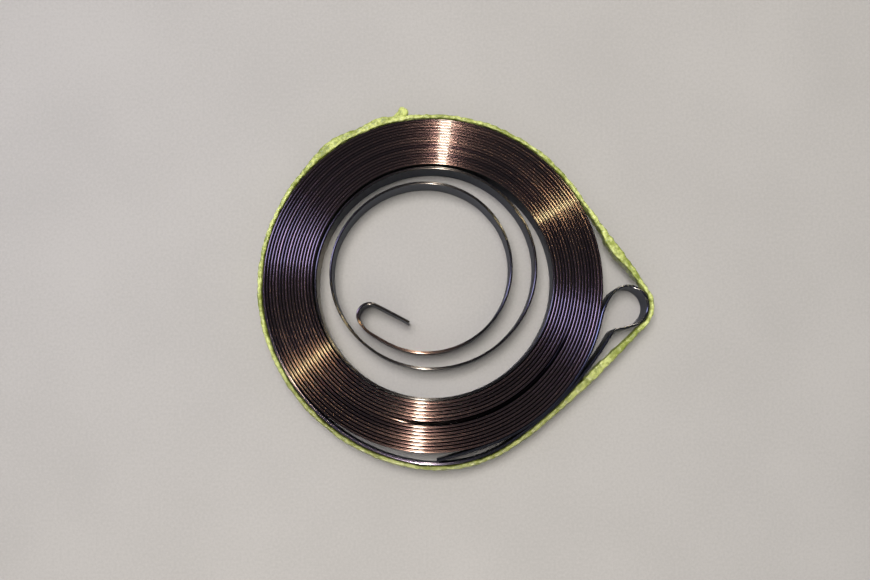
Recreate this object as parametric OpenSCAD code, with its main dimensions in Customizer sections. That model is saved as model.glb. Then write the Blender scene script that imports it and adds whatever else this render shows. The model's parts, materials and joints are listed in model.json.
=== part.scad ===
// Recoil starter spring: one long strip of spring steel, wound on edge and
// kept wound by a film tie. Lengths are in millimetres, angles in degrees.
// The coil lies flat with its axis on Z and its lower edge on Z = 0.

/* [Strip] */
// Thickness of the steel strip
strip_t = 0.65; // [0.4:0.01:0.75]
// Width of the steel strip, which is the height of the coil
strip_h = 9.5; // [8:0.1:14]

/* [Pack] */
// Number of turns that lie packed together
pack_turns = 16; // [10:1:18]
// Diameter of the outermost packed turn, at the middle of the strip
pack_d = 88.25; // [84:0.25:96]
// Gap between packed turns on the tight side of the coil
tight_gap = 0.10; // [0.06:0.01:0.12]
// Gap between packed turns on the slack side of the coil
slack_gap = 0.28; // [0.14:0.01:0.30]
// Distance by which the packed turns stand further out on the side of the loop
pack_bulge = 1.28; // [0.4:0.02:1.6]

/* [Loose turns] */
// Gap where the first loose turn leaves the pack
leave_gap = 0.7; // [0.3:0.05:1.2]
// End radius of the first loose half turn
loose_1_end_r = 28.3; // [27.5:0.1:28.8]
// Side radius of the first loose half turn
loose_1_side_r = 25.2; // [24:0.1:26]
// Lower radius of the second loose half turn
loose_2_lower_r = 27.4; // [26.8:0.1:27.8]
// Side radius of the second loose half turn
loose_2_side_r = 22.9; // [22:0.1:23.5]
// Upper radius of the second loose half turn
loose_2_upper_r = 25.7; // [25:0.1:26]
// End radius of the third loose half turn
loose_3_end_r = 22.9; // [22:0.1:23.3]
// Side radius of the third loose half turn
loose_3_side_r = 22.3; // [21.5:0.1:23]

/* [Inner hook] */
// Radius of the strip as it runs in to the hook
hook_lead_r = 21.9; // [20:0.1:24]
// Angle of that run
hook_lead_turn = 27.6; // [24:0.1:32]
// Length of the nearly straight arm before the bend
hook_arm_l = 5; // [3:0.1:7]
// Radius where the arm eases into the bend
hook_ease_r = 10.8; // [8:0.1:14]
// Angle of that easing
hook_ease_turn = 23.4; // [18:0.1:28]
// Radius of the hairpin bend
hook_bend_r = 3.26; // [2.6:0.01:4]
// Angle of the hairpin bend
hook_bend_turn = 150.4; // [140:0.1:156]
// Length of the free tip
hook_tip_l = 10.2; // [6:0.1:12]

/* [Outer loop] */
// Radius of the loop, at the middle of the strip
loop_r = 5.35; // [4.8:0.05:5.6]
// Radius of the loop's inner arm, which runs back to the pack
inner_arm_r = 18; // [14:0.5:24]
// Radius of the loop's outer arm
outer_arm_r = 40; // [30:0.5:50]
// Angle of the outer arm
outer_arm_turn = 6.06; // [3:0.01:8]
// Radius of the set-back bend before the outer arm
set_bend_r = 2.5; // [2:0.1:3.2]
// Angle of the set-back bend
set_bend_turn = 50.36; // [46:0.01:56]
// Gap between the tail and the pack that it lies on
tail_gap = 0.15; // [0.1:0.01:0.25]
// Angle through which the tail lies on the pack
tail_turn = 59; // [40:0.5:62]
// Length of the tail beyond that, out to its cut end
tail_end_l = 14.6; // [4:0.1:15]

/* [Lead to the loop] */
// Angle through which the outermost turn still lies on the pack
lead_pack_turn = 114; // [105:0.5:118]
// Radius that the outermost turn gains where it leaves the pack
lead_leave_gain = 4.31; // [3.6:0.01:5]
// Angle of that stretch
lead_leave_turn = 56; // [54:0.5:58]
// Radius that it loses in the bulge round the end of the tail
lead_bulge_loss = 9.59; // [8.5:0.01:10.5]
// Angle of that bulge
lead_bulge_turn = 43.5; // [42:0.5:45]
// Radius that it gains in the flat run up to the loop
lead_run_gain = 41.41; // [36:0.01:48]
// Angle of that run
lead_run_turn = 26.7; // [26:0.1:27.5]

/* [Tie] */
// Thickness of the film tie
tie_t = 1.5; // [0.8:0.05:1.8]
// Height of the film tie
tie_h = 4.8; // [3:0.1:6]
// Distance of the tie's upper edge below the top of the coil
tie_drop = 0.4; // [0.2:0.1:2]
// Gap between the tie and the steel
tie_gap = 0.2; // [0.05:0.01:0.3]
// Thickness that the overlapped ends add to the tie
lap_t = 1; // [0.4:0.05:1.4]
// Middle of the overlap, as an angle from X
lap_angle = 114; // [100:1:150]
// Angle that the overlap covers
lap_turn = 32; // [16:1:44]
// Width of the free tab
tab_w = 2.2; // [1:0.1:3]
// Length of the free tab
tab_l = 3.2; // [1:0.1:4]
// Foot of the tab, as an angle from X
tab_angle = 100; // [95:1:160]
// Angle by which the tab leans over from standing straight out
tab_lean_angle = 41; // [0:1:50]

/* [Hidden] */
$fn = 180;

// A quarter turn, half a turn, and the share of it in each arc of a half turn with three
quarter_turn = 90;
half_turn = 2 * quarter_turn;
third_turn = half_turn / 3;
// Radius that stands for a straight arm, because a wound strip keeps a little bow
bowed_r = 60;
// Radius of the nearly straight cut ends
straight_r = 200;
// Angle between the points at which the tie's line touches the steel
outline_step = 3;
// Smallest steps to which radii, angles and places are kept
radius_step = 0.001;
angle_step = 0.01;
place_step = 0.01;

// Distance from turn to turn on the tight side, at +Y, and the slack side, at -Y
tight_pitch = strip_t + tight_gap;
slack_pitch = strip_t + slack_gap;
// Turn 0 crosses +Y at tight_y(0), and turn 1 crosses -Y at -slack_y(1)
function tight_y(turn) = (pack_d + tight_gap + strip_t - slack_gap / 2) / 2 - tight_pitch * turn;
function slack_y(turn) = pack_d - tight_y(0) - slack_pitch * (turn - 1);

// A half turn drawn with three radii
function three_arcs(first_r, side_r, last_r) =
    [for (r = [first_r, side_r, last_r]) [r, -third_turn]];
// What the end arcs of a bulged half turn gain in radius, and its side arc loses
bulge_r = pack_bulge / (2 * sin(third_turn) - 1);
// Radii of the outermost packed half turn and of the tail that lies on it
pack_end_r = pack_d / 2 + bulge_r;
pack_side_r = pack_d / 2 - bulge_r;
tail_lift = strip_t + tail_gap;

// Small geometry helpers
function kept(value, step) = round(value / step) * step;
function wrapped(angle) = angle - 360 * floor(angle / 360);
function unit(angle) = [cos(angle), sin(angle)];
function bearing(from, to) = atan2(to[1] - from[1], to[0] - from[0]);
function sweep_of(length, radius) = length / radius * 180 / PI;

// Point at distance ra from a and rb from b, on the left of the way from a to b for side = 1
function two_circles(a, ra, b, rb, side) =
    let (d = norm(b - a))
    a + ra * unit(bearing(a, b) + side * acos((ra * ra + d * d - rb * rb) / (2 * ra * d)));

// Each arc of a path is [radius, turn], with left turns positive. The next three
// give its centre, the place where it ends and the heading there.
function arc_centre(arc, place, heading) = place + sign(arc[1]) * arc[0] * unit(heading + 90);
function arc_end(arc, place, heading) =
    arc_centre(arc, place, heading) - sign(arc[1]) * arc[0] * unit(heading + arc[1] + 90);

// Rounds a path's radii and turns, so that each arc starts just where the last one ends
function rounded(arcs) = [for (arc = arcs) [kept(arc[0], radius_step), kept(arc[1], angle_step)]];

// Lays arcs end to end and returns [centre, radius, first angle, sweep] for each
function laid(arcs, place, heading, i = 0) =
    i == len(arcs) ? [] :
    let (arc = arcs[i])
    let (first = heading - sign(arc[1]) * quarter_turn + min(arc[1], 0))
    concat(
        [[arc_centre(arc, place, heading), arc[0], kept(wrapped(first), angle_step), abs(arc[1])]],
        laid(arcs, arc_end(arc, place, heading), heading + arc[1], i + 1)
    );

// Packed turns, from +Y inwards and clockwise: a bulged half turn on +X, a round one on -X
pack_arcs = [
    for (turn = [0 : pack_turns - 1])
    let (last = turn == pack_turns - 1)
    let (bulged = (tight_y(turn) + slack_y(turn + 1)) / 2)
    let (top = tight_y(turn + 1) - (last ? leave_gap - tight_gap : 0))
    each concat(
        three_arcs(bulged + bulge_r, bulged - bulge_r, bulged + bulge_r),
        [[(top + slack_y(turn + 1)) / 2, -half_turn]]
    )
];

loose_arcs = concat(
    three_arcs(loose_1_end_r, loose_1_side_r, loose_1_end_r),
    three_arcs(loose_2_lower_r, loose_2_side_r, loose_2_upper_r),
    three_arcs(loose_3_end_r, loose_3_side_r, loose_3_end_r)
);

hook_arcs = [
    [hook_lead_r, -hook_lead_turn],
    [bowed_r, -sweep_of(hook_arm_l, bowed_r)],
    [hook_ease_r, -hook_ease_turn],
    [hook_bend_r, -hook_bend_turn],
    [straight_r, -sweep_of(hook_tip_l, straight_r)]
];

// The outermost turn, from +Y backwards and anticlockwise, out to the loop
lead_start = [0, tight_y(0)];
lead_r = (tight_y(0) + slack_y(0)) / 2;
lead_leave_r = lead_r + lead_leave_gain;
lead_bulge_r = lead_r - lead_bulge_loss;
lead_run_r = lead_r + lead_run_gain;
lead_arcs = rounded([
    [lead_r, lead_pack_turn],
    [lead_leave_r, lead_leave_turn],
    [lead_bulge_r, lead_bulge_turn],
    [lead_run_r, lead_run_turn],
    [set_bend_r, -set_bend_turn],
    [outer_arm_r, outer_arm_turn]
]);
lead_heading = half_turn + lead_pack_turn + lead_leave_turn + lead_bulge_turn + lead_run_turn;
loop_in_heading = lead_heading - set_bend_turn + outer_arm_turn;

// Centre of the outermost packed turn's side arc
pack_side_centre = lead_start - [0, pack_end_r] + 2 * bulge_r * unit(quarter_turn - third_turn);

// Centres of the loop and its inner arm, each arc tangent to the next
outer_arm_centre = laid(lead_arcs, lead_start, half_turn)[len(lead_arcs) - 1][0];
loop_centre = outer_arm_centre + (outer_arm_r - loop_r) * unit(loop_in_heading - quarter_turn);
inner_arm_centre =
    two_circles(loop_centre, inner_arm_r - loop_r, pack_side_centre, pack_side_r + tail_lift + inner_arm_r, 1);

// Headings at the joints of those arcs
loop_out_heading = bearing(inner_arm_centre, loop_centre) + quarter_turn;
tail_heading = bearing(inner_arm_centre, pack_side_centre) + quarter_turn;
// The tail lies on the side arc first, and then on the end arc below it
tail_side_turn = wrapped(tail_heading + 2 * third_turn);

loop_arcs = [
    [loop_r, wrapped(loop_out_heading - loop_in_heading)],
    [inner_arm_r, wrapped(tail_heading - loop_out_heading)],
    [pack_side_r + tail_lift, -tail_side_turn],
    [pack_end_r + tail_lift, tail_side_turn - tail_turn],
    [straight_r, -sweep_of(tail_end_l, straight_r)]
];

// The whole strip, laid inwards and outwards from where the outermost turn crosses +Y
inner_laid = laid(rounded(concat(pack_arcs, loose_arcs, hook_arcs)), lead_start, 0);
outer_laid = laid(rounded(concat(lead_arcs, loop_arcs)), lead_start, half_turn);
// The arcs that the tie can touch: all the outer ones and the outermost packed half turn
touched_laid = concat(outer_laid, [for (i = [0 : 2]) inner_laid[i]]);

// Slit section of the strip, standing on its edge
module strip_section() {
    translate([-strip_t / 2, 0]) square([strip_t, strip_h]);
}

// One arc of the strip. Its place is given as a coarse move and the small rest.
module strip_arc(centre, radius, first, sweep) {
    coarse = [for (v = centre) kept(v, place_step)];
    translate(coarse)
        translate(centre - coarse)
            rotate_extrude(start = first, angle = sweep)
                translate([radius, 0])
                    strip_section();
}

module spring_strip() {
    color("#4a3a3c") {
        union() {
            for (arc = concat(inner_laid, outer_laid)) {
                strip_arc(arc[0], arc[1], arc[2], arc[3]);
            }
        }
    }
}

// Outline of the wound spring, grown by a margin: what the tie is drawn round
module wound_outline(margin) {
    hull() {
        for (arc = touched_laid, angle = [0 : outline_step : arc[3]]) {
            translate(arc[0] + arc[1] * unit(arc[2] + angle)) circle(r = margin, $fn = 24);
        }
    }
}

// The overlap is a flatter bow that rises from the tie and falls back to it
module tie_lap(radius) {
    half_chord = radius * sin(lap_turn / 2);
    rise = lap_t + radius * (1 - cos(lap_turn / 2));
    bow_r = (half_chord * half_chord + rise * rise) / (2 * rise);
    translate((radius + lap_t - bow_r) * unit(lap_angle)) circle(r = bow_r);
}

module tie_tab(radius) {
    foot = radius * unit(tab_angle);
    hull() {
        translate(foot) circle(d = tab_w, $fn = 32);
        translate(foot + tab_l * unit(tab_angle - tab_lean_angle)) circle(d = tab_w, $fn = 32);
    }
}

module retaining_tie() {
    inside = strip_t / 2 + tie_gap;
    color("#a9b84f") {
        translate([0, 0, strip_h - tie_drop - tie_h]) {
            linear_extrude(tie_h) {
                difference() {
                    union() {
                        wound_outline(inside + tie_t);
                        tie_lap(lead_r + inside + tie_t);
                        tie_tab(lead_r + inside + tie_t - tab_w / 2);
                    }
                    wound_outline(inside);
                }
            }
        }
    }
}

spring_strip();
retaining_tie();
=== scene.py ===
"""Recoil starter spring: the wound strip and its tie, dressed and lit from above."""

import json
import logging
import math
from dataclasses import dataclass
from enum import Enum
from typing import Any, Iterable, Sequence

import bmesh
import bpy
from mathutils import Matrix, Vector, noise

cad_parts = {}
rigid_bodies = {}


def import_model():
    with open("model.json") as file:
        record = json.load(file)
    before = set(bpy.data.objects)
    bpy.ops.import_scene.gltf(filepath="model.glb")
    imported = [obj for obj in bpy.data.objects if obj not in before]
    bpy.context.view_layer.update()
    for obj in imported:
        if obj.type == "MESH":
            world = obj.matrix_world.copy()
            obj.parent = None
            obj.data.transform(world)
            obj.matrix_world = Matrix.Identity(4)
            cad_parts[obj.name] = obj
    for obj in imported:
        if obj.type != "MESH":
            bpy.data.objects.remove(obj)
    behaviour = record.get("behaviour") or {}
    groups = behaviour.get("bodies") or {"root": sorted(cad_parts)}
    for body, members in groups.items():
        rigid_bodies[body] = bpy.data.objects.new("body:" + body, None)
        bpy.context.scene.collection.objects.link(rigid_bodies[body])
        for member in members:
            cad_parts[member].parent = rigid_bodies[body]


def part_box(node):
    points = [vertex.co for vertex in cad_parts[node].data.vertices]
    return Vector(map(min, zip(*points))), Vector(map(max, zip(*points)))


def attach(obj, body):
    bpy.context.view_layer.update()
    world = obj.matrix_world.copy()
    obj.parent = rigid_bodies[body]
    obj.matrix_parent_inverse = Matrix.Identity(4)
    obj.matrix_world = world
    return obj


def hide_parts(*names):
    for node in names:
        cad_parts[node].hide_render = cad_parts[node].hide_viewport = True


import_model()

log = logging.getLogger("spring")

MM = 0.001
PHOTO_W = 870
CORNER_STEPS = 3
CROWN_STEPS = 4
BULGED_ARCS = 3
TURN_ARCS = BULGED_ARCS + 1

Colour = tuple[float, float, float]
Span = tuple[float, float]


class Blend(Enum):
    """Ways in which a node tree carries a mask from 0 to 1."""

    LINEAR = "LINEAR"
    SMOOTH = "SMOOTHSTEP"


class Sock:
    """An output socket that takes part in Python arithmetic."""

    def __init__(self, graph: "Graph", socket: bpy.types.NodeSocket) -> None:
        """Keeps the graph that adds nodes and the socket that this value comes from."""
        self.graph = graph
        self.socket = socket

    def math(self, operation: str, *values: Any) -> "Sock":
        """Adds a Math node.

        Args:
            operation: the Math node's operation.
            values: its inputs in order, each a number or a Sock.

        Returns:
            The node's value.
        """
        inputs = {i: value for i, value in enumerate(values)}
        return self.graph.add("ShaderNodeMath", {"operation": operation}, inputs)

    def __add__(self, other: Any) -> "Sock":
        """Adds two values."""
        return self.math("ADD", self, other)

    __radd__ = __add__

    def __sub__(self, other: Any) -> "Sock":
        """Subtracts the other value."""
        return self.math("SUBTRACT", self, other)

    def __rsub__(self, other: Any) -> "Sock":
        """Subtracts this value from a number."""
        return self.math("SUBTRACT", other, self)

    def __mul__(self, other: Any) -> "Sock":
        """Multiplies two values."""
        return self.math("MULTIPLY", self, other)

    __rmul__ = __mul__

    def __truediv__(self, other: Any) -> "Sock":
        """Divides by the other value."""
        return self.math("DIVIDE", self, other)

    def __rtruediv__(self, other: Any) -> "Sock":
        """Divides a number by this value."""
        return self.math("DIVIDE", other, self)

    def sine(self) -> "Sock":
        """Gives the sine of an angle in radians."""
        return self.math("SINE", self)

    def size(self) -> "Sock":
        """Gives the value without its sign."""
        return self.math("ABSOLUTE", self)

    def ramp(self, low: float, high: float, blend: Blend = Blend.SMOOTH) -> "Sock":
        """Maps low..high to 0..1 and holds it there outside.

        Args:
            low: value that gives 0.
            high: value that gives 1.
            blend: shape of the rise.

        Returns:
            The mask.
        """
        settings = {"interpolation_type": blend.value, "clamp": True}
        inputs = {0: self, 1: low, 2: high, 3: 0.0, 4: 1.0}
        return self.graph.add("ShaderNodeMapRange", settings, inputs)

    def between(self, span: Span, ease: float) -> "Sock":
        """Gives 1 inside a span and 0 outside it.

        Args:
            span: where the mask starts and ends.
            ease: length of the rise after the start, and of the fall before the end.

        Returns:
            The mask.
        """
        return self.ramp(span[0], span[0] + ease) * (1.0 - self.ramp(span[1] - ease, span[1]))


class Graph:
    """Adds nodes to a shader or geometry tree."""

    def __init__(self, tree: bpy.types.NodeTree) -> None:
        """Keeps the tree that nodes are added to."""
        self.tree = tree

    def add(self, kind: str, settings: dict[str, Any], inputs: dict[Any, Any], output: Any = 0) -> Sock:
        """Adds a node of any type.

        Args:
            kind: the node's type name.
            settings: properties, set before the sockets are.
            inputs: socket name or index to a value or a Sock.
            output: name or index of the socket to return.

        Returns:
            The chosen output.
        """
        node = self.tree.nodes.new(kind)
        for name, value in settings.items():
            setattr(node, name, value)
        for key, value in inputs.items():
            if isinstance(value, Sock):
                self.tree.links.new(value.socket, node.inputs[key])
            else:
                node.inputs[key].default_value = value
        return Sock(self, node.outputs[output])

    def mix(self, factor: Any, first: Any, second: Any) -> Sock:
        """Mixes two colours.

        Args:
            factor: 0 for the first, 1 for the second.
            first: a colour or a Sock.
            second: a colour or a Sock.

        Returns:
            The mixed colour.
        """
        inputs = {0: factor, 6: rgba(first), 7: rgba(second)}
        return self.add("ShaderNodeMix", {"data_type": "RGBA"}, inputs, 2)

    def vector_math(self, operation: str, inputs: dict[Any, Any], output: Any = 0) -> Sock:
        """Adds a Vector Math node.

        Args:
            operation: the node's operation.
            inputs: socket name or index to a value or a Sock.
            output: name or index of the socket to return.

        Returns:
            The chosen output.
        """
        return self.add("ShaderNodeVectorMath", {"operation": operation}, inputs, output)

    def noise(self, vector: Sock, scale: float, detail: float, rough: float = 0.5) -> Sock:
        """Gives a noise value round 0.5.

        Args:
            vector: where the noise is read.
            scale: features in one unit of the vector.
            detail: number of finer layers.
            rough: strength of the finer layers.

        Returns:
            The noise value.
        """
        inputs = {"Vector": vector, "Scale": scale, "Detail": detail, "Roughness": rough}
        return self.add("ShaderNodeTexNoise", {"noise_dimensions": "3D"}, inputs, 0)

    def vector(self, x: Any, y: Any, z: Any) -> Sock:
        """Joins three values to a vector."""
        return self.add("ShaderNodeCombineXYZ", {}, {0: x, 1: y, 2: z})

    def parts(self, vector: Sock) -> tuple[Sock, Sock, Sock]:
        """Splits a vector into its three values."""
        node = self.add("ShaderNodeSeparateXYZ", {}, {0: vector}).socket.node
        return Sock(self, node.outputs[0]), Sock(self, node.outputs[1]), Sock(self, node.outputs[2])


def rgba(colour: Any) -> Any:
    """Adds an alpha of 1 to a plain colour and passes a Sock through."""
    return colour if isinstance(colour, Sock) else (*colour, 1.0)


class Surface(Graph):
    """A new material with one Principled shader."""

    def __init__(self, name: str) -> None:
        """Makes the material.

        Args:
            name: the material's name.
        """
        self.material = bpy.data.materials.new(name)
        self.material.use_nodes = True
        super().__init__(self.material.node_tree)
        self.shader = self.tree.nodes["Principled BSDF"]
        self.place = self.add("ShaderNodeTexCoord", {}, {}, "Object")

    def attribute(self, name: str) -> Sock:
        """Reads a named attribute of the mesh as a value."""
        return self.add("ShaderNodeAttribute", {"attribute_name": name}, {}, "Fac")

    def bump(self, height: Sock, strength: float, distance: float) -> Sock:
        """Turns a height into a normal.

        Args:
            height: the height value.
            strength: share of the effect.
            distance: height of a value of 1, in metres.

        Returns:
            The bent normal.
        """
        inputs = {"Height": height, "Strength": strength, "Distance": distance}
        return self.add("ShaderNodeBump", {}, inputs)

    def set(self, **values: Any) -> bpy.types.Material:
        """Sets the shader's sockets.

        Args:
            values: socket names, with _ for spaces, to numbers, colours or Socks.

        Returns:
            The finished material.
        """
        for name, value in values.items():
            socket = self.shader.inputs[name.replace("_", " ")]
            if isinstance(value, Sock):
                self.tree.links.new(value.socket, socket)
            else:
                socket.default_value = value
        return self.material


@dataclass(frozen=True)
class TemperedSteel:
    """Finish of the strip: rolled spring steel with its temper colours.

    Places along the strip are in metres from the tip of the hook, and outer_from and loop_from
    are measured back from the end of the tail. The eases of the stretch with painted dip shade and
    of the stretch with a painted floor reflection are in millimetres. Rates are features in a
    metre, along the strip and across it.
    """

    edge_range: Span = (0.4, 1.0)
    edge_dark: Colour = (0.016, 0.008, 0.012)
    edge_light: Colour = (0.09, 0.056, 0.053)
    loose_edge: Colour = (0.042, 0.043, 0.046)
    loose_end: float = 0.45
    loose_fade: float = 0.06
    loose_share: float = 0.8
    # Painted shade: near-black edge colour for the turn that lies lower, in place of the shadow in its
    # recess.
    dip_shade_edge: Colour = (0.003, 0.002, 0.0025)
    dip_shade_ease: float = 8.0
    dip_shade_dulling: float = 0.9
    face: Colour = (0.077, 0.083, 0.094)
    # Painted reflection: pale face colour for one stretch of the innermost packed turn, in place of the
    # floor that its inner wall reflects.
    floor_reflection_face: Colour = (0.46, 0.43, 0.36)
    floor_reflection_ease: float = 15.0
    # Bluish-purple temper colour of the lead's edges, brightened as a painted highlight.
    outer_temper_and_highlight: Colour = (0.15, 0.128, 0.21)
    outer_from: Span = (0.235, 0.20)
    outer_share: float = 0.85
    loop_edge: Colour = (0.03, 0.032, 0.045)
    loop_from: Span = (0.170, 0.14)
    hook: Colour = (0.135, 0.084, 0.072)
    hook_rise: Span = (0.012, 0.020)
    hook_fall: Span = (0.040, 0.055)
    hook_share: float = 0.7
    drift_rate: float = 6.0
    drift_range: Span = (0.32, 0.68)
    grain_rates: tuple[float, float] = (60.0, 9000.0)
    grain_strength: float = 0.2
    grain_depth: float = 0.02 * MM
    wear_rates: tuple[float, float] = (40.0, 300.0)
    wear: float = 0.04
    rough: float = 0.145
    coat: float = 0.8
    coat_rough: float = 0.045
    face_rough: float = 0.42
    grazing: Colour = (0.57, 0.585, 0.645)

    def material(self, length: float, dip: Span, pale: Span) -> bpy.types.Material:
        """Makes the steel.

        Args:
            length: length of the strip in metres.
            dip: start and end of the stretch that lies lower, in millimetres along the strip; its edges
                get painted shade.
            pale: start and end of the stretch whose faces get a painted reflection of the floor.

        Returns:
            The material.
        """
        s = Surface("tempered_spring_steel")
        along = s.attribute("along")
        across = s.parts(s.place)[2]
        edge = s.attribute("edge").ramp(*self.edge_range)
        drift = s.noise(s.vector(along * self.drift_rate, 0.0, 0.0), scale=1.0, detail=3.0)
        edge_tone = s.mix(drift.ramp(*self.drift_range), self.edge_dark, self.edge_light)
        loose = 1.0 - along.ramp(self.loose_end - self.loose_fade, self.loose_end)
        edge_tone = s.mix(loose * self.loose_share, edge_tone, self.loose_edge)
        # Painted shade: the edges of the turn that lies lower are darkened.
        low = along.between((dip[0] * MM, dip[1] * MM), self.dip_shade_ease * MM)
        edge_tone = s.mix(low, edge_tone, self.dip_shade_edge)
        # The lead's edges take their temper colour, brightened as a painted highlight.
        outer = along.ramp(length - self.outer_from[0], length - self.outer_from[1])
        edge_tone = s.mix(outer * self.outer_share, edge_tone, self.outer_temper_and_highlight)
        loop = along.ramp(length - self.loop_from[0], length - self.loop_from[1])
        edge_tone = s.mix(loop, edge_tone, self.loop_edge)
        # Painted reflection: the faces of that stretch are paled as if reflecting the floor.
        painted_reflection = along.between((pale[0] * MM, pale[1] * MM), self.floor_reflection_ease * MM)
        face_tone = s.mix(painted_reflection, self.face, self.floor_reflection_face)
        base = s.mix(edge, face_tone, edge_tone)
        hook_mask = along.ramp(*self.hook_rise) * (1.0 - along.ramp(*self.hook_fall))
        base = s.mix(hook_mask * self.hook_share, base, self.hook)
        grain_at = s.vector(along * self.grain_rates[0], across * self.grain_rates[1], 0.0)
        grain = s.noise(grain_at, scale=1.0, detail=2.0)
        wear_at = s.vector(along * self.wear_rates[0], across * self.wear_rates[1], 0.0)
        polish = s.noise(wear_at, scale=1.0, detail=4.0) * self.wear + (self.rough - self.wear / 2)
        # The coat is dulled on the loose turns, and on the turn that lies lower as part of its painted
        # shade.
        bright = (1.0 - loose * self.loose_share) * (1.0 - low * self.dip_shade_dulling)
        rough = edge * (polish - self.face_rough) + self.face_rough
        return s.set(
            Base_Color=base,
            Metallic=1.0,
            Specular_Tint=rgba(self.grazing),
            Roughness=rough,
            Coat_Weight=edge * bright * self.coat,
            Coat_Roughness=self.coat_rough,
            Normal=s.bump(grain * (1.0 - edge), self.grain_strength, self.grain_depth),
        )


@dataclass(frozen=True)
class CrinkledFilm:
    """Finish of the tie: thin glossy film, crumpled, and darker towards -Y."""

    light: Colour = (0.72, 0.80, 0.27)
    dark: Colour = (0.24, 0.30, 0.04)
    # A darker tone that the film takes towards -Y.
    minus_y_dark: Colour = (0.13, 0.135, 0.03)
    minus_y_dark_from: Span = (-10.0 * MM, -36.0 * MM)
    minus_y_dark_share: float = 0.55
    fold_scale: float = 900.0
    fold_share: float = 0.6
    fold_strength: float = 0.7
    fold_depth: float = 0.25 * MM
    patch_scale: float = 180.0
    contrast: Span = (0.40, 0.62)
    rough: float = 0.2
    fold_rough: float = 0.25
    shine: float = 0.55
    scatter: float = 0.12
    scatter_depth: tuple[float, float, float] = (1.0 * MM, 1.0 * MM, 0.4 * MM)

    def material(self) -> bpy.types.Material:
        """Makes the film.

        Returns:
            The material.
        """
        s = Surface("crinkled_tie_film")
        folds = s.noise(s.place, self.fold_scale, detail=4.0, rough=0.6)
        patches = s.noise(s.place, self.patch_scale, detail=2.0)
        pattern = folds * self.fold_share + patches * (1.0 - self.fold_share)
        tone = s.mix(pattern.ramp(*self.contrast), self.dark, self.light)
        # The film turns darker towards -Y.
        lower = s.parts(s.place)[1].ramp(*self.minus_y_dark_from)
        tone = s.mix(lower * self.minus_y_dark_share, tone, self.minus_y_dark)
        return s.set(
            Base_Color=tone,
            Roughness=folds * self.fold_rough + self.rough,
            Normal=s.bump(folds, self.fold_strength, self.fold_depth),
            Specular_IOR_Level=self.shine,
            Subsurface_Weight=self.scatter,
            Subsurface_Radius=self.scatter_depth,
        )


@dataclass(frozen=True)
class PaleFloor:
    """Finish of the floor: pale warm grey with a fine speckle."""

    light: Colour = (0.485, 0.476, 0.467)
    dark: Colour = (0.425, 0.417, 0.409)
    speckle_scale: float = 1400.0
    speckle_share: float = 0.6
    cloud_scale: float = 25.0
    contrast: Span = (0.3, 0.7)
    rough: float = 0.6

    def material(self) -> bpy.types.Material:
        """Makes the floor's finish.

        Returns:
            The material.
        """
        s = Surface("pale_floor")
        speckle = s.noise(s.place, self.speckle_scale, detail=2.0, rough=0.6)
        cloud = s.noise(s.place, self.cloud_scale, detail=2.0)
        pattern = speckle * self.speckle_share + cloud * (1.0 - self.speckle_share)
        tone = s.mix(pattern.ramp(*self.contrast), self.dark, self.light)
        return s.set(Base_Color=tone, Roughness=self.rough)


@dataclass(frozen=True)
class Arc:
    """A stretch of a flat path: left turns are positive."""

    radius: float
    turn: float

    def length(self) -> float:
        """Gives the length along the arc."""
        return self.radius * math.radians(abs(self.turn))


def unit(angle: float) -> Vector:
    """Gives the direction at an angle in degrees."""
    return Vector((math.cos(math.radians(angle)), math.sin(math.radians(angle))))


def bearing(start: Vector, end: Vector) -> float:
    """Gives the angle of the way from one point to another."""
    return math.degrees(math.atan2(end.y - start.y, end.x - start.x))


def two_circles(a: Vector, ra: float, b: Vector, rb: float, side: int) -> Vector:
    """Finds a point by its distances from two others.

    Args:
        a: first point.
        ra: distance from it.
        b: second point.
        rb: distance from it.
        side: 1 for the point on the left of the way from a to b, -1 for the right.

    Returns:
        The point.
    """
    d = (b - a).length
    swing = math.degrees(math.acos((ra * ra + d * d - rb * rb) / (2 * ra * d)))
    return a + ra * unit(bearing(a, b) + side * swing)


@dataclass
class FlatPath:
    """Arcs laid end to end from a place and a heading."""

    place: Vector
    heading: float

    def centre(self, arc: Arc) -> Vector:
        """Gives the centre of an arc that starts where the path now ends."""
        return self.place + math.copysign(arc.radius, arc.turn) * unit(self.heading + 90)

    def lay(self, arcs: Iterable[Arc], step: float, chord: float) -> list[Vector]:
        """Lays arcs and samples them.

        Args:
            arcs: the arcs in order.
            step: largest angle between points, in degrees.
            chord: largest distance between points.

        Returns:
            The points after the path's first place.
        """
        points: list[Vector] = []
        for arc in arcs:
            centre = self.centre(arc)
            spoke = self.place - centre
            count = max(1, math.ceil(abs(arc.turn) / step), math.ceil(arc.length() / chord))
            first = math.degrees(math.atan2(spoke.y, spoke.x))
            for i in range(1, count + 1):
                points.append(centre + arc.radius * unit(first + arc.turn * i / count))
            self.place = points[-1]
            self.heading += arc.turn
        return points


def new_object(name: str, mesh: bpy.types.Mesh) -> bpy.types.Object:
    """Puts a mesh into the scene at the origin.

    Args:
        name: the object's name.
        mesh: its mesh.

    Returns:
        The object.
    """
    obj = bpy.data.objects.new(name, mesh)
    bpy.context.scene.collection.objects.link(obj)
    return obj


def polyline(name: str, points: Sequence[Vector], closed: bool) -> bpy.types.Object:
    """Makes a mesh of edges along points, with the distance along it in the attribute along.

    Args:
        name: the object's name.
        points: the points in order, in metres.
        closed: whether the last point joins the first.

    Returns:
        The object.
    """
    count = len(points)
    edges = [(i, (i + 1) % count) for i in range(count if closed else count - 1)]
    mesh = bpy.data.meshes.new(name)
    mesh.from_pydata([p.to_3d() if len(p) == 2 else p for p in points], edges, [])
    along = mesh.attributes.new("along", "FLOAT", "POINT")
    run = 0.0
    for i in range(count):
        along.data[i].value = run
        run += (points[(i + 1) % count] - points[i]).length
    return new_object(name, mesh)


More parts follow.
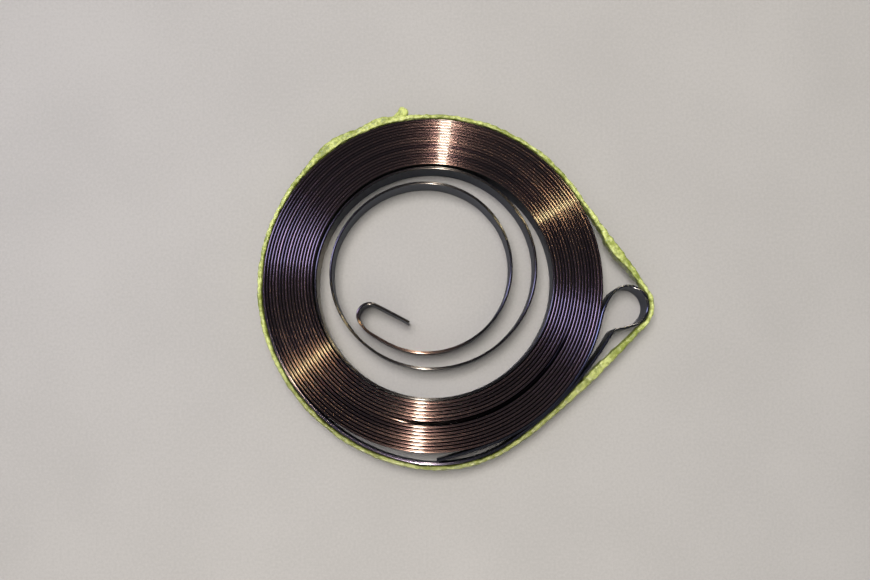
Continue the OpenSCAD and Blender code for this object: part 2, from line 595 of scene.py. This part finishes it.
class SweepTree(Graph):
    """A Geometry Nodes tree that sweeps a section along the host's edges."""

    def __init__(self, name: str, inputs: dict[str, str]) -> None:
        """Makes the tree with its inputs.

        Args:
            name: the tree's name.
            inputs: input names and their socket types.
        """
        super().__init__(bpy.data.node_groups.new(name, "GeometryNodeTree"))
        face = self.tree.interface
        face.new_socket("Geometry", in_out="INPUT", socket_type="NodeSocketGeometry")
        face.new_socket("Geometry", in_out="OUTPUT", socket_type="NodeSocketGeometry")
        self.ids: dict[str, str] = {}
        for key, kind in inputs.items():
            self.ids[key] = face.new_socket(key, in_out="INPUT", socket_type=kind).identifier
        self.entry = self.tree.nodes.new("NodeGroupInput")

    def given(self, name: str) -> Sock:
        """Gives one of the tree's inputs."""
        return Sock(self, self.entry.outputs[name])

    def along(self) -> Sock:
        """Reads the distance along the path."""
        return self.add("GeometryNodeInputNamedAttribute", {"data_type": "FLOAT"}, {"Name": "along"})

    def curve(self) -> Sock:
        """Turns the host's edges into a curve whose section stands upright."""
        line = self.add("GeometryNodeMeshToCurve", {}, {0: self.given("Geometry")})
        return self.add("GeometryNodeSetCurveNormal", {"mode": "Z_UP"}, {"Curve": line})

    def sweep(self, curve: Sock) -> Sock:
        """Sweeps the section object along a curve.

        Args:
            curve: the path.

        Returns:
            The closed mesh.
        """
        section = self.add("GeometryNodeObjectInfo", {}, {"Object": self.given("Section")}, "Geometry")
        outline = self.add("GeometryNodeMeshToCurve", {}, {0: section})
        inputs = {"Curve": curve, "Profile Curve": outline, "Fill Caps": True}
        return self.add("GeometryNodeCurveToMesh", {}, inputs)

    def moved(self, geometry: Sock, offset: Sock) -> Sock:
        """Moves every point by an offset."""
        return self.add("GeometryNodeSetPosition", {}, {"Geometry": geometry, "Offset": offset})

    def finish(self, geometry: Sock) -> None:
        """Smooths, realizes, sets the material and closes the tree.

        Args:
            geometry: the finished shape.
        """
        smooth = self.add("GeometryNodeSetShadeSmooth", {}, {0: geometry})
        real = self.add("GeometryNodeRealizeInstances", {}, {0: smooth})
        inputs = {"Geometry": real, "Material": self.given("Material")}
        dressed = self.add("GeometryNodeSetMaterial", {}, inputs)
        end = self.tree.nodes.new("NodeGroupOutput")
        self.tree.links.new(dressed.socket, end.inputs[0])

    def bake(self, host: bpy.types.Object, name: str, values: dict[str, Any]) -> bpy.types.Object:
        """Runs the tree on a host and keeps the result as a plain mesh.

        Args:
            host: object with the path's edges; it is removed.
            name: name of the finished piece.
            values: the tree's inputs.

        Returns:
            The finished piece.
        """
        modifier = host.modifiers.new(self.tree.name, "NODES")
        modifier.node_group = self.tree
        for key, value in values.items():
            modifier[self.ids[key]] = value
        deps = bpy.context.evaluated_depsgraph_get()
        mesh = bpy.data.meshes.new_from_object(host.evaluated_get(deps))
        mesh.name = name
        bpy.data.objects.remove(host)
        return new_object(name, mesh)


def face_outwards(obj: bpy.types.Object) -> None:
    """Turns every face of a closed mesh outwards.

    Args:
        obj: the object that has the mesh.
    """
    work = bmesh.new()
    work.from_mesh(obj.data)
    bmesh.ops.recalc_face_normals(work, faces=work.faces)
    work.to_mesh(obj.data)
    work.free()


def crowned_section(
    width: float, height: float, crown_r: float, corner_r: float, guard: float,
) -> list[Vector]:
    """Gives the outline of a strip whose two edges are crowned, centred on the origin.

    Args:
        width: size along X.
        height: size along Y.
        crown_r: radius of the crown on each edge.
        corner_r: radius between the crown and the sides.
        guard: distance of the extra points that keep the long sides flat.

    Returns:
        The points in order.
    """
    half = width / 2
    tilt = math.degrees(math.asin((half - corner_r) / (crown_r - corner_r)))
    rest = 90.0 - tilt
    crown = Vector((0.0, height / 2 - crown_r))
    corner = crown + (crown_r - corner_r) * unit(rest)
    opposite = crown + (crown_r - corner_r) * unit(90.0 + tilt)
    upper = [Vector((half, corner.y - guard))]
    for i in range(CORNER_STEPS):
        upper.append(corner + corner_r * unit(rest * i / CORNER_STEPS))
    for i in range(CROWN_STEPS + 1):
        upper.append(crown + crown_r * unit(rest + 2 * tilt * i / CROWN_STEPS))
    for i in range(1, CORNER_STEPS + 1):
        upper.append(opposite + corner_r * unit(90.0 + tilt + rest * i / CORNER_STEPS))
    upper.append(Vector((-half, corner.y - guard)))
    return upper + [-point for point in upper]


@dataclass
class SpringStrip:
    """The wound steel strip, in millimetres as the solids have it.

    The rows of hook, arm, tail_end and lead are the radius and turn of an arc, and the lead's radii
    are what they add to the outermost half turn's. lift_rate is in features for each metre.
    """

    node: str = "spring_strip"
    slot: str = "spring_steel"
    strip_t: float = 0.65
    pack_turns: int = 16
    pack_d: float = 88.25
    tight_gap: float = 0.10
    slack_gap: float = 0.28
    pack_bulge: float = 1.28
    leave_gap: float = 0.7
    loose: tuple[float, ...] = (28.3, 25.2, 28.3, 27.4, 22.9, 25.7, 22.9, 22.3, 22.9)
    third_turn: float = 60.0
    hook: tuple[tuple[float, float], ...] = (
        (21.9, 27.6), (60.0, 4.77), (10.8, 23.4), (3.26, 150.4), (200.0, 2.92),
    )
    loop_r: float = 5.35
    inner_arm_r: float = 18.0
    tail_gap: float = 0.15
    tail_turn: float = 59.0
    tail_end: tuple[float, float] = (200.0, 4.18)
    lead: tuple[tuple[float, float], ...] = ((0.0, 114.0), (4.31, 56.0), (-9.59, 43.5), (41.41, 26.7))
    arm: tuple[tuple[float, float], ...] = ((2.5, -50.36), (40.0, 6.06))
    crown_r: float = 0.6
    corner_r: float = 0.08
    edge_guard: float = 0.3
    point_step: float = 3.0
    point_chord: float = 3.0
    lift: float = 0.22
    lift_rate: float = 14.0
    seed: float = 3.0
    dip: float = 0.9
    dip_turn: int = 8
    dip_before: float = 50.0
    dip_after: float = 12.0
    dip_ease: float = 16.0
    # The stretch with a painted floor reflection, in millimetres back from where the innermost packed turn
    # crosses -Y.
    floor_reflection_after: Span = (12.0, 68.0)

    def tight_y(self, turn: int) -> float:
        """Gives where a turn crosses +Y."""
        top = (self.pack_d + self.tight_gap + self.strip_t - self.slack_gap / 2) / 2
        return top - (self.strip_t + self.tight_gap) * turn

    def slack_y(self, turn: int) -> float:
        """Gives how far below the axis a turn crosses -Y."""
        return self.pack_d - self.tight_y(0) - (self.strip_t + self.slack_gap) * (turn - 1)

    def bulge_r(self) -> float:
        """Gives what the end arcs of a bulged half turn gain in radius and its side arc loses."""
        return self.pack_bulge / (2 * math.sin(math.radians(self.third_turn)) - 1)

    def bulged(self, half: float) -> list[Arc]:
        """Gives the three arcs of a bulged half turn of a given half width."""
        radii = (half + self.bulge_r(), half - self.bulge_r(), half + self.bulge_r())
        return [Arc(radius, -self.third_turn) for radius in radii]

    def inner_arcs(self) -> list[Arc]:
        """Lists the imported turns, the loose turns and the hook, clockwise from +Y.

        Returns:
            The arcs in order.
        """
        arcs: list[Arc] = []
        for turn in range(self.pack_turns):
            arcs += self.bulged((self.tight_y(turn) + self.slack_y(turn + 1)) / 2)
            last = turn == self.pack_turns - 1
            top = self.tight_y(turn + 1) - (self.leave_gap - self.tight_gap if last else 0.0)
            arcs.append(Arc((top + self.slack_y(turn + 1)) / 2, -180.0))
        arcs += [Arc(radius, -self.third_turn) for radius in self.loose]
        return arcs + [Arc(radius, -turn) for radius, turn in self.hook]

    def outer_arcs(self) -> list[Arc]:
        """Lists the outermost turn, the loop and the tail, anticlockwise from +Y.

        Returns:
            The arcs in order.
        """
        end_r = self.pack_d / 2 + self.bulge_r()
        side_r = self.pack_d / 2 - self.bulge_r()
        tail_lift = self.strip_t + self.tail_gap
        start = Vector((0.0, self.tight_y(0)))
        pack = start - Vector((0.0, end_r)) + 2 * self.bulge_r() * unit(90.0 - self.third_turn)
        lead_r = (self.tight_y(0) + self.slack_y(0)) / 2
        arcs = [Arc(lead_r + gain, turn) for gain, turn in self.lead]
        arcs += [Arc(radius, turn) for radius, turn in self.arm]
        path = FlatPath(start, 180.0)
        path.lay(arcs, self.point_step, self.point_chord)
        loop = path.place + self.loop_r * unit(path.heading + 90)
        tail_side_r = side_r + tail_lift
        arm_in = two_circles(loop, self.inner_arm_r - self.loop_r, pack, tail_side_r + self.inner_arm_r, 1)
        loop_out = bearing(arm_in, loop) + 90
        tail_in = bearing(arm_in, pack) + 90
        tail_side = (tail_in + 2 * self.third_turn) % 360
        return arcs + [
            Arc(self.loop_r, (loop_out - path.heading) % 360),
            Arc(self.inner_arm_r, (tail_in - loop_out) % 360),
            Arc(tail_side_r, -tail_side),
            Arc(end_r + tail_lift, tail_side - self.tail_turn),
            Arc(self.tail_end[0], -self.tail_end[1]),
        ]

    def outer_line(self) -> list[Vector]:
        """Samples the strip from +Y out to the end of the tail."""
        path = FlatPath(Vector((0.0, self.tight_y(0))), 180.0)
        return path.lay(self.outer_arcs(), self.point_step, self.point_chord)

    def line(self) -> list[Vector]:
        """Samples the whole strip, from the tip of the hook to the end of the tail.

        Returns:
            The points in order.
        """
        start = Vector((0.0, self.tight_y(0)))
        path = FlatPath(start.copy(), 0.0)
        inwards = path.lay(self.inner_arcs(), self.point_step, self.point_chord)
        return inwards[::-1] + [start] + self.outer_line()

    def tree(self) -> SweepTree:
        """Makes the tree that stands the section on the strip's line.

        Returns:
            The tree.
        """
        tree = SweepTree("wound_strip", {
            "Section": "NodeSocketObject",
            "Height": "NodeSocketFloat",
            "Lift": "NodeSocketFloat",
            "Lift rate": "NodeSocketFloat",
            "Dip": "NodeSocketFloat",
            "Dip start": "NodeSocketFloat",
            "Dip end": "NodeSocketFloat",
            "Seed": "NodeSocketFloat",
            "Material": "NodeSocketMaterial",
        })
        reading = tree.vector(tree.along() * tree.given("Lift rate"), tree.given("Seed"), 0.0)
        uneven = tree.noise(reading, scale=1.0, detail=1.0) * tree.given("Lift")
        rise = tree.given("Height") * 0.5 + uneven
        solid = tree.sweep(tree.moved(tree.curve(), tree.vector(0.0, 0.0, rise)))
        ease = self.dip_ease * MM
        into = (tree.along() - tree.given("Dip start")).ramp(0.0, ease)
        out = (tree.along() - tree.given("Dip end")).ramp(-ease, 0.0)
        up = tree.parts(tree.add("GeometryNodeInputPosition", {}, {}))[2]
        sink = tree.given("Dip") * into * (1.0 - out) * (up / tree.given("Height")) * -1.0
        tree.finish(tree.moved(solid, tree.vector(0.0, 0.0, sink)))
        return tree

    def bottom_of(self, turn: int) -> float:
        """Gives how far along the strip a packed turn crosses -Y."""
        arcs = self.inner_arcs()
        return sum(arc.length() for arc in arcs[TURN_ARCS * turn + BULGED_ARCS:])

    def dip_span(self) -> Span:
        """Gives where the turn that lies lower starts and ends, along the strip."""
        bottom = self.bottom_of(self.dip_turn)
        return bottom - self.dip_after, bottom + self.dip_before

    def floor_reflection_span(self) -> Span:
        """Gives where the stretch of the innermost packed turn with a painted floor reflection on its
        faces starts and ends.
        """
        bottom = self.bottom_of(self.pack_turns - 1)
        return bottom - self.floor_reflection_after[1], bottom - self.floor_reflection_after[0]

    def build(self) -> bpy.types.Object:
        """Builds and dresses the strip.

        Returns:
            The finished piece.
        """
        low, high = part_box(self.node)
        height = high.z - low.z
        points = [p * MM for p in self.line()]
        length = sum((b - a).length for a, b in zip(points, points[1:]))
        host = polyline("strip_line", points, False)
        tall = height / MM - self.lift
        outline = crowned_section(self.strip_t, tall, self.crown_r, self.corner_r, self.edge_guard)
        section = polyline("strip_section", [p * MM for p in outline], True)
        crest = section.data.attributes.new("edge", "FLOAT", "POINT")
        reach = tall / 2 - self.edge_guard
        for i, p in enumerate(outline):
            crest.data[i].value = 1.0 if abs(p.y) > reach else 0.0
        piece = self.tree().bake(host, "wound_spring_strip", {
            "Section": section,
            "Height": tall * MM,
            "Lift": self.lift * MM,
            "Lift rate": self.lift_rate,
            "Dip": self.dip * MM,
            "Dip start": self.dip_span()[0] * MM,
            "Dip end": self.dip_span()[1] * MM,
            "Seed": self.seed,
            "Material": TemperedSteel().material(length, self.dip_span(), self.floor_reflection_span()),
        })
        bpy.data.objects.remove(section)
        face_outwards(piece)
        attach(piece, "root")
        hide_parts(self.node)
        return piece


def convex_outline(points: Iterable[Vector]) -> list[Vector]:
    """Finds the points that a band drawn tight round all of them would touch.

    Args:
        points: the points in any order.

    Returns:
        The touched points, anticlockwise.
    """
    ordered = sorted(points, key=lambda p: (p.x, p.y))
    halves: list[list[Vector]] = []
    for run in (ordered, ordered[::-1]):
        half: list[Vector] = []
        for p in run:
            while len(half) > 1 and (half[-1] - half[-2]).cross(p - half[-1]) <= 0:
                half.pop()
            half.append(p)
        halves.append(half[:-1])
    return halves[0] + halves[1]


def evenly(points: Sequence[Vector], step: float) -> list[Vector]:
    """Places points at even distances along a closed outline.

    Args:
        points: the outline's corners in order.
        step: about how far apart the points are to be.

    Returns:
        The placed points.
    """
    sides = [(a, b, (b - a).length) for a, b in zip(points, [*points[1:], points[0]])]
    total = sum(side[2] for side in sides)
    count = round(total / step)
    placed: list[Vector] = []
    run = 0.0
    index = 0
    for i in range(count):
        target = total * i / count
        while run + sides[index][2] < target:
            run += sides[index][2]
            index += 1
        a, b, size = sides[index]
        placed.append(a.lerp(b, (target - run) / size))
    return placed


@dataclass
class RetainingTie:
    """The film tie that keeps the spring wound, in millimetres.

    Scales are in features for each metre and tab_fold_rate for each millimetre. The rows of lumps
    and spans are the middle and half width of a swelling in degrees, and its rise.
    """

    node: str = "retaining_tie"
    slot: str = "tie_film"
    gap: float = 0.1
    thick: float = 1.6
    section_points: int = 36
    section_power: float = 0.55
    ring_step: float = 0.4
    bead: float = 2.3
    bead_slant: float = 0.6
    bead_wander: float = 9.0
    wander_scale: float = 260.0
    crease: float = 0.12
    crumple: float = 0.45
    crumple_scale: float = 330.0
    crumple_range: Span = (0.24, 0.6)
    seed: float = 7.0
    facing_range: Span = (-0.2, 0.6)
    lumps: tuple[tuple[float, float, float], ...] = (
        (126.0, 14.0, 1.1),
        (107.0, 8.0, 0.8),
        (116.0, 24.0, 0.4),
        (9.0, 14.0, 0.4),
        (-28.0, 24.0, 0.7),
    )
    spans: tuple[tuple[float, float, float], ...] = ((11.5, 10.0, 1.1), (-25.0, 18.0, 0.5))
    tab_at: float = 101.4
    tab_way: float = 59.0
    tab_long: float = 3.85
    tab_half: float = 1.75
    tab_tall: float = 3.6
    tab_round: tuple[float, float] = (0.7, 0.6)
    tab_flare: float = 0.9
    tab_flare_end: float = 0.55
    tab_waist: float = 0.14
    tab_close: float = 0.35
    tab_close_from: float = 0.85
    tab_fold: float = 0.12
    tab_fold_rate: float = 1.1
    tab_rings: int = 10
    tab_points: int = 24

    def line(self, strip: SpringStrip) -> list[Vector]:
        """Finds the tie's middle line, drawn round the strip.

        Args:
            strip: the strip that it is drawn round.

        Returns:
            The points in order, the first of which follows the last.
        """
        packed = FlatPath(Vector((0.0, strip.tight_y(0))), 0.0)
        steel = packed.lay(strip.inner_arcs()[:BULGED_ARCS], strip.point_step, strip.point_chord)
        touched = evenly(convex_outline(strip.outer_line() + steel), self.ring_step)
        out = strip.strip_t / 2 + self.gap + self.thick / 2
        ahead = [*touched[1:], touched[0]]
        behind = [touched[-1], *touched[:-1]]
        ways = [(b - a).normalized() for a, b in zip(behind, ahead)]
        return [p + Vector((way.y, -way.x)) * out for p, way in zip(touched, ways)]

    def section(self, height: float) -> list[Vector]:
        """Finds the section of the band, a flat oval.

        Args:
            height: the band's height.

        Returns:
            The points in order.
        """
        power = self.section_power
        points: list[Vector] = []
        for i in range(self.section_points):
            way = unit(360.0 * i / self.section_points)
            x = math.copysign(abs(way.x) ** power, way.x) * self.thick / 2
            y = math.copysign(abs(way.y) ** power, way.y) * height / 2
            points.append(Vector((x, y)))
        return points

    def swelling(self, angle: Sock, places: Iterable[tuple[float, float, float]]) -> Sock:
        """Adds up smooth swellings round the coil.

        Args:
            angle: direction from the middle of the coil, in radians.
            places: middle and half width of each in degrees, and its rise.

        Returns:
            The rise at that angle.
        """
        total: Any = 0.0
        for middle, half, rise in places:
            away = ((angle - math.radians(middle)) / math.radians(half)).size()
            total = (1.0 - away.ramp(0.0, 1.0)) * rise + total
        return total

    def tree(self) -> SweepTree:
        """Makes the tree that sweeps the band and crumples it.

        Returns:
            The tree.
        """
        tree = SweepTree("crumpled_band", {
            "Section": "NodeSocketObject",
            "Middle": "NodeSocketFloat",
            "Bead": "NodeSocketFloat",
            "Crease": "NodeSocketFloat",
            "Crumple": "NodeSocketFloat",
            "Lump": "NodeSocketFloat",
            "Seed": "NodeSocketFloat",
            "Material": "NodeSocketMaterial",
        })
        raised = tree.moved(tree.curve(), tree.vector(0.0, 0.0, tree.given("Middle")))
        band = tree.sweep(raised)
        place = tree.add("GeometryNodeInputPosition", {}, {})
        normal = tree.add("GeometryNodeInputNormal", {}, {})
        x, y, z = tree.parts(place)
        shift = tree.vector(tree.given("Seed"), 0.0, 0.0)
        seeded = tree.vector_math("ADD", {0: place, 1: shift})
        slant = tree.along() + (z - tree.given("Middle")) * self.bead_slant
        wander = tree.noise(seeded, self.wander_scale, detail=2.0) * self.bead_wander
        bead = ((slant / tree.given("Bead")) * math.tau + wander).sine() * 0.5 - 0.5
        folds = tree.noise(seeded, self.crumple_scale, detail=4.0, rough=0.6)
        crumple = folds.ramp(*self.crumple_range, Blend.LINEAR) - 1.0
        depth = bead * tree.given("Crease") + crumple * tree.given("Crumple")
        angle = y.math("ARCTAN2", y, x)
        lump = self.swelling(angle, self.lumps) * tree.given("Lump")
        span = self.swelling(angle, self.spans) * tree.given("Lump")
        radial = tree.vector_math("NORMALIZE", {0: tree.vector(x, y, 0.0)})
        facing = tree.vector_math("DOT_PRODUCT", {0: radial, 1: normal}, "Value")
        outside = facing.ramp(*self.facing_range)
        inside = (facing * -1.0).ramp(*self.facing_range)
        push = tree.vector_math("SCALE", {0: normal, "Scale": depth})
        swell = lump * outside - span * inside
        bulge = tree.vector_math("SCALE", {0: radial, "Scale": swell})
        offset = tree.vector_math("ADD", {0: push, 1: bulge})
        tree.finish(tree.moved(band, offset))
        return tree

    def build(self, strip: SpringStrip) -> bpy.types.Object:
        """Builds and dresses the tie.

        Args:
            strip: the strip that it is drawn round.

        Returns:
            The finished piece.
        """
        low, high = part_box(self.node)
        line = self.line(strip)
        host = polyline("tie_line", [p * MM for p in line], True)
        outline = self.section((high.z - low.z) / MM)
        section = polyline("tie_section", [p * MM for p in outline], True)
        piece = self.tree().bake(host, "crinkled_tie", {
            "Section": section,
            "Middle": (low.z + high.z) / 2,
            "Bead": self.bead * MM,
            "Crease": self.crease * MM,
            "Crumple": self.crumple * MM,
            "Lump": MM,
            "Seed": self.seed,
            "Material": CrinkledFilm().material(),
        })
        bpy.data.objects.remove(section)
        foot = max(line, key=lambda p: p.normalized().dot(unit(self.tab_at)))
        self.add_tab(piece, foot * MM, (low.z + high.z) / 2)
        face_outwards(piece)
        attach(piece, "root")
        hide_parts(self.node)
        return piece

    def add_tab(self, piece: bpy.types.Object, foot: Vector, middle: float) -> None:
        """Adds the free end of the film, a short folded flap, to the tie's mesh.

        Args:
            piece: the tie.
            foot: where the flap leaves the tie's middle line, in metres.
            middle: height of the flap's middle.
        """
        way = unit(self.tab_way)
        side = Vector((-way.y, way.x))
        work = bmesh.new()
        work.from_mesh(piece.data)
        rings: list[list[bmesh.types.BMVert]] = []
        for i in range(self.tab_rings):
            part = i / (self.tab_rings - 1)
            flare = self.tab_flare * max(0.0, self.tab_flare_end - part) ** 2
            neck = 1.0 + flare - self.tab_waist * math.sin(math.pi * part)
            past = max(0.0, part - self.tab_close_from) / (1.0 - self.tab_close_from)
            close = 1.0 - self.tab_close * past
            spine = foot + way * self.tab_long * part * MM
            inner = Vector((spine.x, spine.y, middle))
            ring: list[bmesh.types.BMVert] = []
            for k in range(self.tab_points):
                turn = unit(360.0 * k / self.tab_points)
                wide = math.copysign(abs(turn.x) ** self.tab_round[0], turn.x) * neck * close
                tall = math.copysign(abs(turn.y) ** self.tab_round[1], turn.y) * close
                flat = side * self.tab_half * wide
                reach = Vector((flat.x, flat.y, self.tab_tall / 2 * tall)) * MM
                crush = noise.noise((inner + reach) / MM * self.tab_fold_rate)
                ring.append(work.verts.new(inner + reach * (1.0 - self.tab_fold * (1.0 + crush))))
            rings.append(ring)
        for lower, upper in zip(rings, rings[1:]):
            for k in range(self.tab_points):
                after = (k + 1) % self.tab_points
                work.faces.new((lower[k], lower[after], upper[after], upper[k])).smooth = True
        work.faces.new(rings[0][::-1])
        work.faces.new(rings[-1])
        work.to_mesh(piece.data)
        work.free()


class Reach(Enum):
    """Kinds of surface that a lamp is seen by."""

    GLOSS = "gloss"
    MATT = "matt"


@dataclass(frozen=True)
class Softbox:
    """One area lamp, placed by its direction from the coil."""

    name: str
    azimuth: float
    elevation: float
    streak: float
    size: tuple[float, float]
    colour: Colour
    power: float
    reach: Reach
    distance: float = 1.0

    def build(self) -> bpy.types.Object:
        """Makes the lamp, points it at the coil and turns its long side along its streak.

        Returns:
            The lamp's object.
        """
        lamp = bpy.data.lights.new(self.name, "AREA")
        lamp.shape = "RECTANGLE"
        lamp.size, lamp.size_y = self.size
        lamp.color = self.colour
        lamp.energy = self.power
        obj = bpy.data.objects.new(self.name, lamp)
        obj.visible_diffuse = self.reach is Reach.MATT
        obj.visible_glossy = self.reach is Reach.GLOSS
        flat = unit(self.azimuth) * math.cos(math.radians(self.elevation))
        way = Vector((flat.x, flat.y, math.sin(math.radians(self.elevation))))
        obj.location = way * self.distance
        across = unit(self.streak).to_3d().cross(way).normalized()
        obj.rotation_euler = Matrix((across, way.cross(across), way)).transposed().to_euler()
        bpy.context.scene.collection.objects.link(obj)
        return obj


@dataclass
class Studio:
    """Floor, lamps, world and camera."""

    floor_half: float = 0.6
    camera_at: tuple[float, float, float] = (-2.0 * MM, -29.0 * MM, 290.0 * MM)
    picture_middle: tuple[float, float, float] = (0.98 * MM, -0.8 * MM, 9.5 * MM)
    px_per_mm: float = 3.762
    sensor: float = 36.0
    near: float = 10.0 * MM
    world: Colour = (0.2, 0.2, 0.215)

    def lamps(self) -> list[Softbox]:
        """Lists the lamps: one over the floor, and narrow ones whose streaks the turns show.

        Returns:
            The lamps.
        """
        return [
            Softbox("overhead", 125.0, 80.0, 90.0, (0.4, 0.4), (1.0, 0.955, 0.90), 9.6, Reach.MATT),
            Softbox("front_lamp", 265.0, 56.0, 265.0, (0.042, 0.6), (1.0, 0.89, 0.68), 6.0, Reach.GLOSS),
            Softbox("low_front", 265.0, 42.0, 265.0, (0.042, 0.4), (1.0, 0.91, 0.72), 9.5, Reach.GLOSS),
            Softbox("back_lamp", 85.0, 50.0, 85.0, (0.042, 0.6), (1.0, 0.89, 0.68), 3.0, Reach.GLOSS),
            Softbox("gold_lamp", 42.0, 60.0, 33.0, (0.012, 0.7), (1.0, 0.84, 0.42), 1.9, Reach.GLOSS),
            Softbox("gold_back", 203.0, 60.0, 213.0, (0.012, 0.7), (1.0, 0.84, 0.42), 1.0, Reach.GLOSS),
            Softbox("window", 153.0, 58.0, 163.5, (0.15, 0.6), (0.55, 0.56, 1.0), 4.0, Reach.GLOSS),
        ]

    def build(self) -> None:
        """Makes the floor, the lamps, the world and the camera."""
        work = bmesh.new()
        bmesh.ops.create_grid(work, x_segments=1, y_segments=1, size=self.floor_half)
        mesh = bpy.data.meshes.new("floor")
        work.to_mesh(mesh)
        work.free()
        mesh.materials.append(PaleFloor().material())
        floor = new_object("floor", mesh)
        for lamp in self.lamps():
            lamp.build()
        self.light_world()
        self.add_camera()

    def light_world(self) -> None:
        """Gives the world one even colour."""
        scene = bpy.context.scene
        scene.world = bpy.data.worlds.new("studio")
        scene.world.use_nodes = True
        scene.world.node_tree.nodes["Background"].inputs["Color"].default_value = rgba(self.world)
        scene.view_settings.view_transform = "Standard"

    def add_camera(self) -> None:
        """Adds the camera that looks straight down, with its lens shifted to the spring."""
        data = bpy.data.cameras.new("camera")
        away = Vector(self.camera_at) - Vector(self.picture_middle)
        width = PHOTO_W / self.px_per_mm * MM
        data.sensor_width = self.sensor
        data.lens = self.sensor * away.z / width
        data.shift_x = -away.x / width
        data.shift_y = -away.y / width
        data.clip_start = self.near
        camera = bpy.data.objects.new("camera", data)
        camera.location = self.camera_at
        bpy.context.scene.collection.objects.link(camera)
        bpy.context.scene.camera = camera


def main() -> None:
    """Builds the spring, the tie and the studio."""
    logging.basicConfig(level=logging.INFO, format="%(name)s: %(message)s")
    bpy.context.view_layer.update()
    strip = SpringStrip()
    for piece in (strip.build(), RetainingTie().build(strip)):
        log.info("%s has %d faces", piece.name, len(piece.data.polygons))
    Studio().build()


if __name__ == "__main__":
    main()
